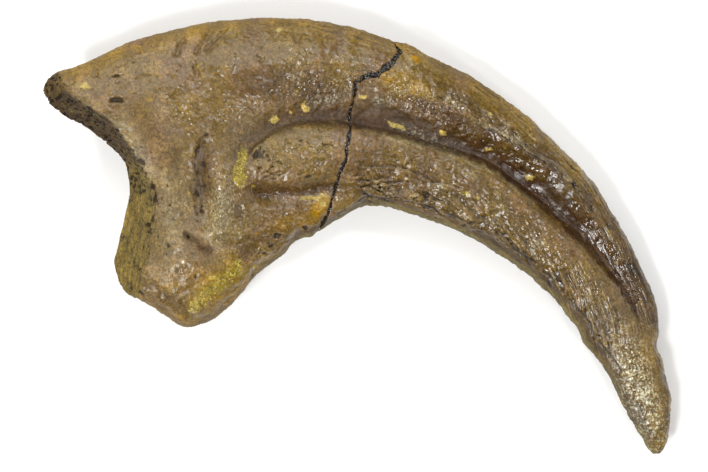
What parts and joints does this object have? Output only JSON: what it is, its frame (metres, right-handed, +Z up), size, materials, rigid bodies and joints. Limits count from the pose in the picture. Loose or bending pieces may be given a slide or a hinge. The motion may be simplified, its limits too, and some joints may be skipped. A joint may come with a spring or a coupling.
{
  "type": "fossil claw",
  "caption": "Curved fossil hand claw of a meat-eating dinosaur, lying on its side, with a hollowed joint end, a grooved blade and a cemented break.",
  "frame": {"origin": "middle of the claw's plan outline, on the surface that it lies on", "axes": "+X from the joint end to the tip, +Y towards the outer curve, +Z up out of the flank that faces the camera"},
  "size_m": [0.0752, 0.0522, 0.0134],
  "materials": {
    "fossil_bone": "brown mineralised bone under thin varnish",
    "dark_cement": "glossy near-black resin"
  },
  "bodies": {
    "root": {"joint_fragment": "fossil_bone", "blade_fragment": "fossil_bone", "break_cement": "dark_cement"}
  },
  "joints": []
}
